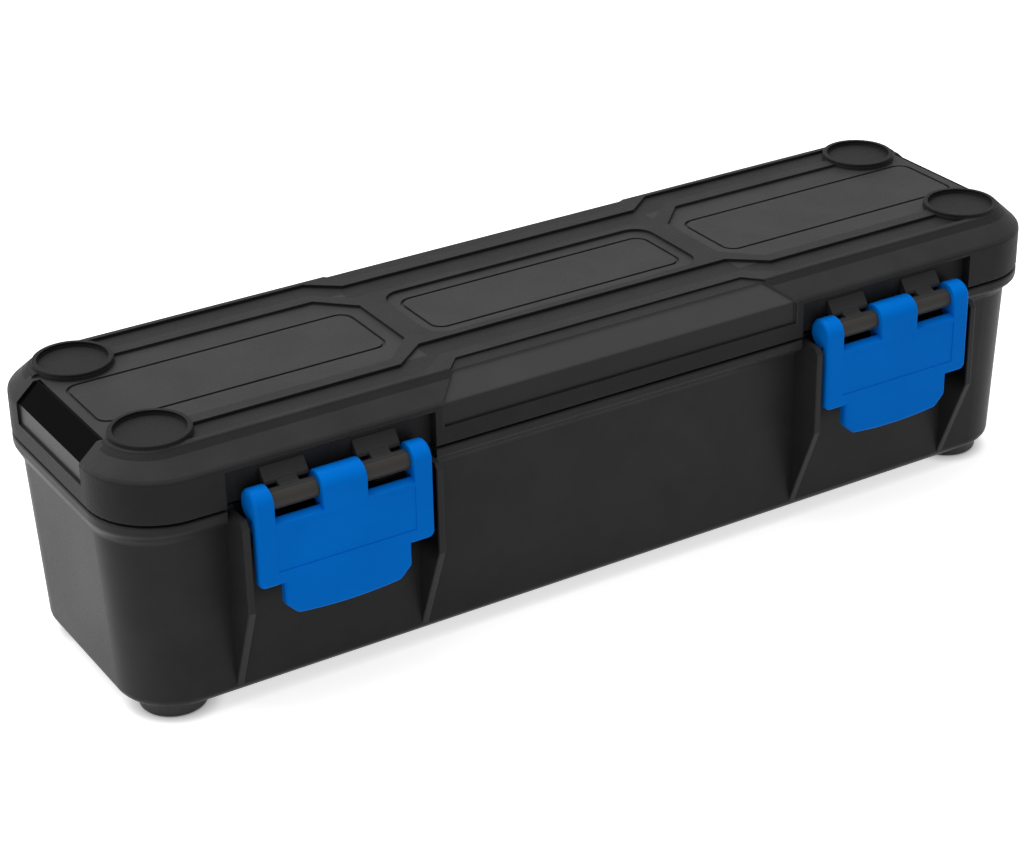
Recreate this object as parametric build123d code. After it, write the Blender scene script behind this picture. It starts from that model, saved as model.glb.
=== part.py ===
from build123d import *

import math
import os

# Driving dimensions, in millimetres. X runs along the box, Y to the back, Z up.
# The origin is the middle of the footprint, on the surface that the feet stand on.

# Outline shared by the lid skirt and the rim of the base
LENGTH = 387.0
WIDTH = 110.0
CORNER_R = 25.5

# Heights
FOOT_HEIGHT = 5.5
FLOOR_Z = 5.5
WALL_TOP_Z = 71.5
RIM_LOWER_Z = 76.0
RIM_TOP_Z = 79.6
SKIRT_Z = 80.4
SKIRT_TOP_Z = 95.8
PLATEAU_Z = 103.2
RING_TOP_Z = 104.5

# Base tub
WALL = 2.6
FLOOR_THICK = 2.8
WALL_TOP_LENGTH = 383.0
WALL_TOP_WIDTH = 97.0
WALL_TOP_CORNER_R = 21.5
FLOOR_LENGTH = 376.0
FLOOR_WIDTH = 96.2
FLOOR_CORNER_R = 21.0
FLOOR_BEVEL = 2.4
RIM_LOWER_R = 2.0
WALL_TOP_R = 3.0
FLOOR_EDGE_R = 3.0
FLOOR_LOWER_R = 1.5
FLANGE_THICK = 3.0
FLANGE_INSET = 9.6

# Lid top
PLATEAU_END_INSET = 8.2
PLATEAU_SIDE_INSET = 9.5
PLATEAU_CORNER_R = 15.0
SHOULDER_R = 2.5
PLATEAU_EDGE_R = 0.9
EDGE_R = 0.8
LID_WALL = 2.6
RELIEF_STEP = 1.2
EDGE_RELIEF_STEP = 0.8
GROOVE_WIDTH = 1.2
GROOVE_DEPTH = 0.8
GROOVE_CORNER_R = 5.0
END_GROOVE_START_X = 72.5
END_GROOVE_END_X = 180.3
END_GROOVE_HALF_Y = 15.8
BADGE_LENGTH = 114.0
BADGE_WIDTH = 40.0
BADGE_CORNER_R = 8.0
BADGE_GROOVE_HALF_X = 52.5
BADGE_GROOVE_HALF_Y = 14.0
ROOF_Z = PLATEAU_Z - RELIEF_STEP - LID_WALL - 0.6

# Smooth recessed panels of the lid: middle of each long side, and each end
PANEL_DEPTH = 1.0
PANEL_TOP_Y = 46.0
PANEL_TOP_HALF = 65.0
PANEL_BOTTOM_HALF = 74.0
PANEL_BOTTOM_Z = 87.0
WINDOW_DEPTH = 0.9
WINDOW_HALF_WIDTH = 26.2
WINDOW_BOTTOM_Z = 87.6

# Rubber seal between lid and rim, and the lip inside it
SEAL_OUTER_INSET = 5.4
SEAL_WIDTH = 2.4
SEAL_SEAT_Z = 83.0
SEAL_BAND_TOP_Z = 84.6
LIP_OUTER_INSET = 10.1
LIP_THICK = 1.6
LIP_BOTTOM_Z = 77.8

# Feet, and the stacking dishes above them
FOOT_X = 170.0
FOOT_Y = 31.2
FOOT_R = 12.0
FOOT_EDGE_R = 1.6
FOOT_PLUG_R = 4.0
FOOT_PLUG_HEIGHT = 2.2
DISH_R = 12.3
DISH_DEPTH = 1.8
RING_R = 14.0
RING_FOOT_R = 14.5

# Latches, on the front, and hinges, on the back
FITTING_X = 116.4
FITTING_WIDTH = 66.4
SIDE_KNUCKLE = 7.2
MIDDLE_KNUCKLE = 16.8
BARREL_LENGTH = 17.0
BAY_WIDTH = 78.4
BAY_Y = 51.0
BAY_TOP_Z = 93.4
BAY_EDGE_R = 1.0
BAY_MARGIN = 2.0
BAY_WALL = 2.2
HOOD_WIDTH = 16.3
TONGUE_WIDTH = 7.3
LATCH_AXIS_Y = -57.3
PIVOT_Z = 81.0
LATCH_KNUCKLE_R = 5.8
LATCH_BARREL_R = 3.6
KNUCKLE_GAP = 0.3
PLATE_BACK_Y = -59.8
PLATE_BOTTOM_Z = 51.5
PLATE_CORNER_R = 2.6
LEDGE_FRONT_Z = 74.3
LEDGE_TOP_Z = 75.5
TAB_BOTTOM_Z = 37.6
TAB_HALF_WIDTH = 24.0
TAB_CORNER = 4.5
TAB_CORNER_R = 2.5
TAB_BOW = 1.2
FRAME_HALF_WIDTH = 26.0
FRAME_BOTTOM_Z = 56.6
FRAME_TOP_Z = 73.0
FRAME_DEPTH = 0.3
LATCH_SIDE_R = 1.6
LATCH_EDGE_R = 0.8
HINGE_AXIS_Y = 58.0
HINGE_Z = 80.0
HINGE_KNUCKLE_R = 5.0
PIN_R = 1.5
PIN_PLAY = 0.05
PIN_END_COVER = 1.5
PIN_RECESS = 0.6

# Catch bar on the base and bead on the latch
CATCH_Z = 60.2
CATCH_FRONT_Y = -57.0
CATCH_HALF_WIDTH = 22.0
BEAD_TIP_Y = -57.3
BEAD_Z = 56.2

# Guard ribs beside the latches
RIB_INNER_X = 34.7
RIB_THICK = 2.8
RIB_FRONT_Y = -62.0
RIB_TOP_Z = 77.8
RIB_KNEE_Z = 43.5
RIB_EDGE_R = 0.5

# Foam inside
FOAM_GAP = 0.8
LINER_TOP_Z = 46.0
SPOOL_R = 37.5
TROUGH_HALF_LENGTH = 172.0
PAD_THICK = 5.0
PAD_INSET = 14.0

BIG = 500.0
SIDES = {"left": -1, "right": 1}


# Helpers

def place(x, y, z):
    """A location at that point."""
    return Location((x, y, z))


def outline(inset, z):
    """The shared outline, drawn in by inset, as a sketch at height z."""
    radius = max(CORNER_R - inset, 2.0)
    sketch = RectangleRounded(LENGTH - 2 * inset, WIDTH - 2 * inset, radius)
    return place(0, 0, z) * sketch


def slab(sketch, height):
    """A sketch at its own height, raised by height along +Z."""
    return extrude(sketch, amount=height, dir=(0, 0, 1))


def band(outer_inset, inner_inset, z_low, z_high):
    """A closed ring between two insets of the outline."""
    height = z_high - z_low
    return slab(outline(outer_inset, z_low), height) - slab(outline(inner_inset, z_low), height)


def block(x_low, x_high, y_low, y_high, z_low, z_high):
    """A box between two corners."""
    centre = ((x_low + x_high) / 2, (y_low + y_high) / 2, (z_low + z_high) / 2)
    return place(*centre) * Box(x_high - x_low, y_high - y_low, z_high - z_low)


def side_profile(points, x_centre, width):
    """A YZ polygon, extruded along X about x_centre."""
    wire = Polyline(*[(x_centre - width / 2, y, z) for y, z in points], close=True)
    return extrude(make_face(wire), amount=width, dir=(1, 0, 0))


def rod_x(radius, length, x_centre, y, z):
    """A round bar along X."""
    return place(x_centre, y, z) * Rotation(0, 90, 0) * Cylinder(radius, length)


def level_edges(body, z):
    """The edges of a body that lie flat at height z."""
    return [e for e in body.edges() if abs(e.center().Z - z) < 0.001 and e.bounding_box().size.Z < 0.001]


def plan_cut(points, z_low):
    """A tool that removes what lies above z_low inside an XY polygon."""
    wire = Polyline(*[(x, y, z_low) for x, y in points], close=True)
    return extrude(make_face(wire), amount=10.0, dir=(0, 0, 1))


def knuckle_centres():
    """Centre and width of the three knuckles of a latch or hinge, from its middle."""
    reach = (FITTING_WIDTH - SIDE_KNUCKLE) / 2
    return [(-reach, SIDE_KNUCKLE), (0.0, MIDDLE_KNUCKLE), (reach, SIDE_KNUCKLE)]


def barrel_centres():
    """Centres of the two barrels that fill the gaps between the knuckles."""
    offset = (MIDDLE_KNUCKLE / 2 + FITTING_WIDTH / 2 - SIDE_KNUCKLE) / 2
    return [-offset, offset]


# Base tub

def wall_outline(inset, z):
    """The outline of the drafted wall at height z, drawn in by inset."""
    share = (z - FLOOR_Z) / (WALL_TOP_Z - FLOOR_Z)
    length = FLOOR_LENGTH + share * (WALL_TOP_LENGTH - FLOOR_LENGTH) - 2 * inset
    width = FLOOR_WIDTH + share * (WALL_TOP_WIDTH - FLOOR_WIDTH) - 2 * inset
    radius = FLOOR_CORNER_R + share * (WALL_TOP_CORNER_R - FLOOR_CORNER_R) - inset
    return place(0, 0, z) * RectangleRounded(length, width, radius)


def base_wall(inset, floor_z):
    """The drafted tub, solid, drawn in by inset, with a bevel round its floor."""
    bevel_z = floor_z + FLOOR_BEVEL
    floor = wall_outline(inset + FLOOR_BEVEL, floor_z).face()
    lower = wall_outline(inset, bevel_z).face()
    upper = wall_outline(inset, WALL_TOP_Z).face()
    return loft([floor, lower], ruled=True) + loft([lower, upper], ruled=True)


def base_rim():
    """The rolled rim, which swells out from the wall to the shared outline."""
    wall_top = wall_outline(0, WALL_TOP_Z).face()
    flare = loft([wall_top, outline(0, RIM_LOWER_Z).face()], ruled=True)
    return flare + slab(outline(0, RIM_LOWER_Z), RIM_TOP_Z - RIM_LOWER_Z)


def base_cavity():
    """The hollow of the tub, with the narrower mouth inside the flange."""
    hollow = base_wall(WALL, FLOOR_Z + FLOOR_THICK)
    hollow += slab(wall_outline(WALL, WALL_TOP_Z), RIM_TOP_Z - FLANGE_THICK - WALL_TOP_Z)
    mouth = slab(outline(FLANGE_INSET, WALL_TOP_Z), RIM_TOP_Z + 1 - WALL_TOP_Z)
    return hollow + mouth


def bay_centres():
    """Middle of each latch or hinge bay along X."""
    return [side * FITTING_X for side in SIDES.values()]


def guard_rib(x_centre):
    """One rib that shields the edge of a latch, from the rim to the foot of the wall."""
    points = [
        (-48.8, RIB_TOP_Z),
        (RIB_FRONT_Y + 1.6, RIB_TOP_Z),
        (RIB_FRONT_Y, RIB_TOP_Z - 2.2),
        (RIB_FRONT_Y, RIB_KNEE_Z),
        (-48.2, FLOOR_Z + 3.2),
        (-47.0, FLOOR_Z + 3.2),
        (-47.2, WALL_TOP_Z),
    ]
    rib = side_profile(points, x_centre, RIB_THICK)
    outer = [e for e in rib.edges() if e.center().Y < -50.0]
    front = [e for e in outer if abs(abs(e.center().X - x_centre) - RIB_THICK / 2) < 0.001]
    return fillet(front, RIB_EDGE_R)


def catch_bar(x_centre):
    """The bar that the bead of the latch snaps below, on the wall of the bay."""
    points = [
        (-47.4, CATCH_Z + 3.6),
        (CATCH_FRONT_Y, CATCH_Z + 1.6),
        (CATCH_FRONT_Y, CATCH_Z - 1.6),
        (-47.4, CATCH_Z - 2.8),
    ]
    return side_profile(points, x_centre, 2 * CATCH_HALF_WIDTH)


def hinge_knuckle(x_centre, width, wall_points):
    """A round hinge knuckle at the back with the web that carries it."""
    knuckle = rod_x(HINGE_KNUCKLE_R, width, x_centre, HINGE_AXIS_Y, HINGE_Z)
    return knuckle + side_profile(wall_points, x_centre, width)


def base_hinge_web():
    """YZ outline of the web under a knuckle of the base."""
    return [
        (48.4, HINGE_Z - 1.0),
        (HINGE_AXIS_Y, HINGE_Z - 1.0),
        (HINGE_AXIS_Y + 4.7, HINGE_Z - 1.7),
        (HINGE_AXIS_Y + 3.6, HINGE_Z - 3.5),
        (49.8, HINGE_Z - 17.0),
        (47.2, HINGE_Z - 17.0),
        (47.2, HINGE_Z - 3.0),
    ]


def pin_bore(x_centre, y, z, radius, length):
    """A tool for the bore of a pivot pin, open at its +X end."""
    start = x_centre - FITTING_WIDTH / 2 + PIN_END_COVER
    return rod_x(radius, length, start + length / 2, y, z)


def base_tub():
    """The drafted tub with its rim, flange, ribs, catch bars and hinge knuckles."""
    body = base_wall(0, FLOOR_Z) + base_rim()
    body = fillet(level_edges(body, RIM_TOP_Z), EDGE_R)
    body = fillet(level_edges(body, RIM_LOWER_Z), RIM_LOWER_R)
    body = fillet(level_edges(body, WALL_TOP_Z), WALL_TOP_R)
    body = fillet(level_edges(body, FLOOR_Z + FLOOR_BEVEL), FLOOR_EDGE_R)
    body = fillet(level_edges(body, FLOOR_Z), FLOOR_LOWER_R)
    for x in bay_centres():
        for y_low, y_high in ((-WIDTH, -BAY_Y), (BAY_Y, WIDTH)):
            body -= block(x - BAY_WIDTH / 2, x + BAY_WIDTH / 2, y_low, y_high, WALL_TOP_Z, RIM_TOP_Z + 1)
    body -= base_cavity()
    for x in bay_centres():
        for edge in (-1, 1):
            body += guard_rib(x + edge * (RIB_INNER_X + RIB_THICK / 2))
        body += catch_bar(x)
        for offset, width in knuckle_centres():
            body += hinge_knuckle(x + offset, width, base_hinge_web())
        body -= pin_bore(x, HINGE_AXIS_Y, HINGE_Z, PIN_R, FITTING_WIDTH)
    for spot in foot_spots():
        body -= place(*spot, FLOOR_Z + FOOT_PLUG_HEIGHT / 2) * Cylinder(FOOT_PLUG_R, FOOT_PLUG_HEIGHT)
    return body


def foot_spots():
    """Centres of the four feet."""
    return [(sx * FOOT_X, sy * FOOT_Y) for sy in (-1, 1) for sx in (-1, 1)]


def foot(x, y):
    """A round foot with a softened lower edge and a plug that fills a socket in the floor."""
    disc = place(x, y, FOOT_HEIGHT / 2) * Cylinder(FOOT_R, FOOT_HEIGHT)
    disc = fillet(disc.edges().group_by(Axis.Z)[0], FOOT_EDGE_R)
    plug = place(x, y, FOOT_HEIGHT + FOOT_PLUG_HEIGHT / 2) * Cylinder(FOOT_PLUG_R, FOOT_PLUG_HEIGHT)
    return disc + plug


# Lid shell

def lid_block():
    """The outer form of the lid: skirt, sloped shoulder and plateau."""
    skirt = slab(outline(0, SKIRT_Z), SKIRT_TOP_Z - SKIRT_Z)
    plateau = place(0, 0, PLATEAU_Z) * RectangleRounded(
        LENGTH - 2 * PLATEAU_END_INSET, WIDTH - 2 * PLATEAU_SIDE_INSET, PLATEAU_CORNER_R
    )
    shoulder = loft([outline(0, SKIRT_TOP_Z).face(), plateau.face()], ruled=True)
    body = skirt + shoulder
    body = fillet(level_edges(body, SKIRT_TOP_Z), SHOULDER_R)
    body = fillet(level_edges(body, PLATEAU_Z), PLATEAU_EDGE_R)
    return fillet(level_edges(body, SKIRT_Z), EDGE_R)


def lid_cavity():
    """The hollow of the lid above its seal band."""
    straight = slab(outline(LID_WALL, SEAL_BAND_TOP_Z), SKIRT_TOP_Z - 1 - SEAL_BAND_TOP_Z)
    roof = place(0, 0, ROOF_Z) * RectangleRounded(
        LENGTH - 2 * (PLATEAU_END_INSET + LID_WALL),
        WIDTH - 2 * (PLATEAU_SIDE_INSET + LID_WALL),
        PLATEAU_CORNER_R - LID_WALL,
    )
    slope = loft([outline(LID_WALL, SKIRT_TOP_Z - 1).face(), roof.face()], ruled=True)
    mouth = slab(outline(LIP_OUTER_INSET + LIP_THICK, LIP_BOTTOM_Z - 1), SEAL_BAND_TOP_Z + 2 - LIP_BOTTOM_Z)
    return straight + slope + mouth


def bay_cut(x, side):
    """The pocket in the skirt behind a latch (side -1) or a hinge (side 1)."""
    points = [
        (side * BAY_Y, SKIRT_Z - 1),
        (side * WIDTH, SKIRT_Z - 1),
        (side * WIDTH, BAY_TOP_Z),
        (side * (WIDTH / 2 - 1.6), BAY_TOP_Z),
        (side * BAY_Y, BAY_TOP_Z - 2.0),
    ]
    return side_profile(points, x, BAY_WIDTH)


def bay_top_edges(body):
    """The long edges where the skirt meets the top of each bay."""
    level = [e for e in body.edges() if abs(e.center().Z - BAY_TOP_Z) < 0.001]
    return [e for e in level if abs(abs(e.center().Y) - WIDTH / 2) < 0.001 and e.length > BAY_WIDTH - 1]


def hood(x, side):
    """The small hood over a barrel, with the narrow tongue that reaches down to it."""
    hood_points = [
        (side * (BAY_Y - 1), 91.4),
        (side * BAY_Y, 90.7),
        (side * 54.4, 86.3),
        (side * 54.4, 84.9),
        (side * (BAY_Y - 1), 84.9),
    ]
    tongue_points = [
        (side * BAY_Y, 87.4),
        (side * 54.4, 86.0),
        (side * 55.2, 85.2),
        (side * 56.6, 84.7),
        (side * 57.1, 84.4),
        (side * 57.1, 81.4),
        (side * 54.6, 81.4),
        (side * 53.2, 84.4),
        (side * BAY_Y, 84.4),
    ]
    return side_profile(hood_points, x, HOOD_WIDTH) + side_profile(tongue_points, x, TONGUE_WIDTH)


def lid_hinge_web():
    """YZ outline of the web from the back of the lid to a hinge knuckle."""
    return [
        (BAY_Y - 1.0, 91.4),
        (BAY_Y, 90.7),
        (HINGE_AXIS_Y + 1.2, HINGE_Z + 4.8),
        (HINGE_AXIS_Y, HINGE_Z + 0.6),
        (BAY_Y - 1.0, HINGE_Z + 0.6),
    ]


def mirror_points(points, sx, sy):
    """XY points reflected by the signs sx and sy."""
    return [(sx * x, sy * y) for x, y in points]


def relief_cuts():
    """Tools for the sunken fields and channels on the plateau."""
    sunken = PLATEAU_Z - RELIEF_STEP
    tools = []
    field = [(66.5, -16.0), (79.0, -28.5), (LENGTH, -28.5), (LENGTH, 28.5), (79.0, 28.5), (66.5, 16.0)]
    channel = [
        (FOOT_X, 33.5), (78.0, 33.5), (65.0, 23.0), (-65.0, 23.0), (-78.0, 33.5), (-FOOT_X, 33.5),
        (-FOOT_X, 43.5), (-75.0, 43.5), (-63.5, 34.5), (63.5, 34.5), (75.0, 43.5), (FOOT_X, 43.5),
    ]
    edge_field = [(60.0, 39.5), (-60.0, 39.5), (-66.0, 46.0), (-66.0, 60.0), (66.0, 60.0), (66.0, 46.0)]
    for sx in (-1, 1):
        tools.append(plan_cut(mirror_points(field, sx, 1), sunken))
    for sy in (-1, 1):
        tools.append(plan_cut(mirror_points(channel, 1, sy), sunken))
        tools.append(plan_cut(mirror_points(edge_field, 1, sy), PLATEAU_Z - EDGE_RELIEF_STEP))
    badge = place(0, 0, sunken) * RectangleRounded(BADGE_LENGTH, BADGE_WIDTH, BADGE_CORNER_R)
    tools.append(slab(badge, 10.0))
    return tools


def groove(x, half_x, half_y):
    """A tool for a groove that runs round a rounded rectangle on a sunken field."""
    floor_z = PLATEAU_Z - RELIEF_STEP - GROOVE_DEPTH
    half = GROOVE_WIDTH / 2
    outer = RectangleRounded(2 * (half_x + half), 2 * (half_y + half), GROOVE_CORNER_R + half)
    inner = RectangleRounded(2 * (half_x - half), 2 * (half_y - half), GROOVE_CORNER_R - half)
    return place(x, 0, floor_z) * extrude(outer - inner, amount=5.0, dir=(0, 0, 1))


def smooth_panel_cut(side):
    """A tool for the smooth recessed panel in the middle of the front (side -1) or back shoulder."""
    rise = (PLATEAU_Z - SKIRT_TOP_Z) / PLATEAU_SIDE_INSET
    drop = PANEL_DEPTH * math.hypot(1, rise)
    low_y = WIDTH / 2 - PANEL_DEPTH
    shoulder_z = SKIRT_TOP_Z + (WIDTH / 2 - PANEL_TOP_Y) * rise - drop
    points = [
        (side * PANEL_TOP_Y, PLATEAU_Z + 2),
        (side * PANEL_TOP_Y, shoulder_z),
        (side * low_y, shoulder_z - (low_y - PANEL_TOP_Y) * rise),
        (side * low_y, PANEL_BOTTOM_Z),
        (side * WIDTH, PANEL_BOTTOM_Z),
        (side * WIDTH, PLATEAU_Z + 2),
    ]
    bar = side_profile(points, 0, 2 * PANEL_BOTTOM_HALF)
    corner = [
        (PANEL_TOP_HALF, PANEL_TOP_Y - 6.0),
        (PANEL_TOP_HALF, PANEL_TOP_Y),
        (PANEL_BOTTOM_HALF, low_y + 0.4),
        (PANEL_BOTTOM_HALF + 10.0, low_y + 0.4),
        (PANEL_BOTTOM_HALF + 10.0, PANEL_TOP_Y - 6.0),
    ]
    for sx in (-1, 1):
        bar -= place(0, 0, SKIRT_Z) * plan_wedge(mirror_points(corner, sx, side))
    return bar


def plan_wedge(points):
    """A tall prism over an XY polygon."""
    wire = Polyline(*[(x, y, 0.0) for x, y in points], close=True)
    return extrude(make_face(wire), amount=40.0, dir=(0, 0, 1))


def end_window_cut(side):
    """A tool for the smooth recessed window in the shoulder and skirt of one end."""
    rise = (PLATEAU_Z - SKIRT_TOP_Z) / PLATEAU_END_INSET
    drop = WINDOW_DEPTH * math.hypot(1, rise)
    low_x = LENGTH / 2 - WINDOW_DEPTH
    top_x = LENGTH / 2 - PLATEAU_END_INSET - 1
    shoulder_z = SKIRT_TOP_Z + (LENGTH / 2 - top_x) * rise - drop
    points = [
        (side * top_x, PLATEAU_Z + 2),
        (side * top_x, shoulder_z),
        (side * low_x, shoulder_z - (low_x - top_x) * rise),
        (side * low_x, WINDOW_BOTTOM_Z),
        (side * LENGTH, WINDOW_BOTTOM_Z),
        (side * LENGTH, PLATEAU_Z + 2),
    ]
    wire = Polyline(*[(x, -WINDOW_HALF_WIDTH, z) for x, z in points], close=True)
    return extrude(make_face(wire), amount=2 * WINDOW_HALF_WIDTH, dir=(0, 1, 0))


def dish_ring(x, y):
    """The raised ring of one stacking dish, solid."""
    low_z = SKIRT_TOP_Z + 2.0
    base = place(x, y, (low_z + RING_TOP_Z) / 2) * Cone(RING_FOOT_R, RING_R, RING_TOP_Z - low_z)
    return fillet(base.edges().group_by(Axis.Z)[-1], 0.5)


def lid_shell():
    """The lid: plateau with its relief, four dishes, hoods, barrels and hinge knuckles."""
    body = lid_block()
    for x in bay_centres():
        body -= bay_cut(x, -1)
        body -= bay_cut(x, 1)
    body = fillet(bay_top_edges(body), BAY_EDGE_R)
    for tool in relief_cuts():
        body -= tool
    for side in (-1, 1):
        body -= smooth_panel_cut(side)
        body -= end_window_cut(side)
    for x, y in foot_spots():
        body += dish_ring(x, y)
        body -= place(x, y, RING_TOP_Z + 5 - DISH_DEPTH) * Cylinder(DISH_R, 10.0)
    groove_half = (END_GROOVE_END_X - END_GROOVE_START_X) / 2
    groove_x = (END_GROOVE_END_X + END_GROOVE_START_X) / 2
    for sx in (-1, 1):
        body -= groove(sx * groove_x, groove_half, END_GROOVE_HALF_Y)
    body -= groove(0, BADGE_GROOVE_HALF_X, BADGE_GROOVE_HALF_Y)
    cavity = lid_cavity()
    reach = BAY_WIDTH / 2 + BAY_MARGIN
    for x in bay_centres():
        for side in (-1, 1):
            low, high = sorted((side * (BAY_Y - BAY_WALL), side * WIDTH))
            cavity -= block(x - reach, x + reach, low, high, 0, BAY_TOP_Z + 0.8)
    body -= cavity
    body += band(LIP_OUTER_INSET, LIP_OUTER_INSET + LIP_THICK, LIP_BOTTOM_Z, SKIRT_Z + 1)
    seal_inner = SEAL_OUTER_INSET + SEAL_WIDTH
    body -= band(SEAL_OUTER_INSET, seal_inner, SKIRT_Z - 0.5, SEAL_SEAT_Z)
    for x in bay_centres():
        for offset in barrel_centres():
            body += hood(x + offset, -1)
            body += rod_x(LATCH_BARREL_R, BARREL_LENGTH, x + offset, LATCH_AXIS_Y, PIVOT_Z)
            body += hinge_knuckle(x + offset, BARREL_LENGTH, lid_hinge_web())
        body -= rod_x(PIN_R + PIN_PLAY, FITTING_WIDTH, x, LATCH_AXIS_Y, PIVOT_Z)
        body -= rod_x(PIN_R + PIN_PLAY, FITTING_WIDTH, x, HINGE_AXIS_Y, HINGE_Z)
    return body


# Latch

def latch_outline(x):
    """The lever in front view, closed: broad plate, two notches at the top and the bowed finger tab."""
    half = FITTING_WIDTH / 2
    notch_half = (BARREL_LENGTH + 2 * KNUCKLE_GAP) / 2
    notch_offset = barrel_centres()[1]
    points = [
        (notch_offset - notch_half, PIVOT_Z), (notch_offset - notch_half, LEDGE_TOP_Z),
        (notch_offset + notch_half, LEDGE_TOP_Z), (notch_offset + notch_half, PIVOT_Z),
        (half, PIVOT_Z), (half, PLATE_BOTTOM_Z),
        (TAB_HALF_WIDTH, PLATE_BOTTOM_Z), (TAB_HALF_WIDTH, TAB_BOTTOM_Z + TAB_BOW + TAB_CORNER),
        (TAB_HALF_WIDTH - TAB_CORNER, TAB_BOTTOM_Z + TAB_BOW),
    ]
    right = [(x + px, PLATE_BACK_Y, pz) for px, pz in points]
    left = [(x - px, PLATE_BACK_Y, pz) for px, pz in reversed(points)]
    bottom = ThreePointArc(right[-1], (x, PLATE_BACK_Y, TAB_BOTTOM_Z), left[0])
    face = make_face(Polyline(*right) + bottom + Polyline(*left) + Line(left[-1], right[0]))
    plate_bottom = [c for c in right + left if abs(c[2] - PLATE_BOTTOM_Z) < 0.001]
    plate_corners = [c for c in plate_bottom if abs(c[0] - x) > TAB_HALF_WIDTH + 1]
    tab_corners = right[-2:] + left[:2]
    for corners, radius in ((plate_corners, PLATE_CORNER_R), (tab_corners, TAB_CORNER_R)):
        found = [v for v in face.vertices() if min(math.dist(tuple(v), c) for c in corners) < 0.001]
        face = fillet(found, radius)
    return face


def front_edges(body, x, beside_notches):
    """Edges of the front face of a lever: those beside its notches, or those round its sides and tab."""
    found = []
    for edge in body.faces().sort_by(Axis.Y)[0].edges():
        middle = edge.center()
        if min(abs(middle.Z - PIVOT_Z), abs(middle.Z - LEDGE_TOP_Z)) < 0.001:
            continue
        inside = middle.Z > LEDGE_TOP_Z and abs(middle.X - x) < FITTING_WIDTH / 2 - 1
        if inside == beside_notches:
            found.append(edge)
    return found


def latch_plate(x):
    """The plate of the lever with its front edges rounded, more so round its outside."""
    front_y = LATCH_AXIS_Y - LATCH_KNUCKLE_R
    body = extrude(latch_outline(x), amount=PLATE_BACK_Y - front_y, dir=(0, -1, 0))
    body = fillet(front_edges(body, x, False), LATCH_SIDE_R)
    return fillet(front_edges(body, x, True), LATCH_EDGE_R)


def latch_knuckle(x, width, outer_side):
    """One knuckle, its outer end rounded more when it has one (-1 left, 1 right, 0 none)."""
    body = rod_x(LATCH_KNUCKLE_R, width, x, LATCH_AXIS_Y, PIVOT_Z)
    for side in (-1, 1):
        rim = [e for e in body.edges() if abs(e.center().X - x - side * width / 2) < 0.001]
        body = fillet(rim, LATCH_SIDE_R if side == outer_side else LATCH_EDGE_R)
    return body


def latch_lever(x):
    """One blue lever with three knuckles, two gaps, a finger tab and a bead at its back."""
    front_y = LATCH_AXIS_Y - LATCH_KNUCKLE_R
    body = latch_plate(x)
    ledge = [
        (front_y - 1, LEDGE_FRONT_Z - 1),
        (front_y, LEDGE_FRONT_Z),
        (PLATE_BACK_Y - 0.6, LEDGE_TOP_Z),
        (front_y - 1, LEDGE_TOP_Z),
    ]
    for offset in barrel_centres():
        body -= side_profile(ledge, x + offset, BARREL_LENGTH + 2 * KNUCKLE_GAP)
    web = [
        (LATCH_AXIS_Y - 2.0, PIVOT_Z),
        (LATCH_AXIS_Y + 4.6, PIVOT_Z - 3.2),
        (PLATE_BACK_Y, PIVOT_Z - 13.0),
        (PLATE_BACK_Y - 1.5, PIVOT_Z - 13.0),
        (front_y + 1.0, PIVOT_Z - 4.0),
    ]
    for side, (offset, width) in zip((-1, 0, 1), knuckle_centres()):
        body += latch_knuckle(x + offset, width, side)
        body += side_profile(web, x + offset, width - 2 * LATCH_EDGE_R)
    frame_back = front_y + FRAME_DEPTH
    body -= block(
        x - FRAME_HALF_WIDTH, x + FRAME_HALF_WIDTH, front_y - 1, frame_back, FRAME_BOTTOM_Z, FRAME_TOP_Z
    )
    bead = [
        (PLATE_BACK_Y - 0.5, BEAD_Z + 1.6),
        (PLATE_BACK_Y, BEAD_Z + 1.6),
        (BEAD_TIP_Y, BEAD_Z + 0.8),
        (BEAD_TIP_Y, BEAD_Z - 0.4),
        (PLATE_BACK_Y, BEAD_Z - 2.4),
        (PLATE_BACK_Y - 0.5, BEAD_Z - 2.4),
    ]
    body += side_profile(bead, x, 2 * CATCH_HALF_WIDTH)
    return body - pin_bore(x, LATCH_AXIS_Y, PIVOT_Z, PIN_R, FITTING_WIDTH)


def pivot_pin(x, y, z):
    """A plain steel pin, held by the outer knuckles, its end a little below their face."""
    length = FITTING_WIDTH - PIN_END_COVER - PIN_RECESS
    return pin_bore(x, y, z, PIN_R, length)


# Seal and foam

def lid_seal():
    """The rubber ring that fills the groove of the lid and rests on the rim."""
    return band(SEAL_OUTER_INSET, SEAL_OUTER_INSET + SEAL_WIDTH, RIM_TOP_Z, SEAL_SEAT_Z)


def base_liner():
    """The foam block in the base, with a round-bottomed trough for spools on edge."""
    block_form = base_wall(WALL + FOAM_GAP, FLOOR_Z + FLOOR_THICK)
    block_form -= block(-BIG, BIG, -BIG, BIG, LINER_TOP_Z, BIG)
    trough = rod_x(SPOOL_R, 2 * TROUGH_HALF_LENGTH, 0, 0, LINER_TOP_Z + 2.0)
    return block_form - trough


def lid_pad():
    """The foam pad glued under the roof of the lid, which holds the spools down."""
    pad = RectangleRounded(LENGTH - 2 * (PAD_INSET + 2), WIDTH - 2 * PAD_INSET, CORNER_R - PAD_INSET)
    return place(0, 0, ROOF_Z - PAD_THICK) * extrude(pad, amount=PAD_THICK, dir=(0, 0, 1))


def save(name, shape):
    """Writes one node."""
    shape.label = name
    export_step(shape, f"parts/{name}.step")


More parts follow.
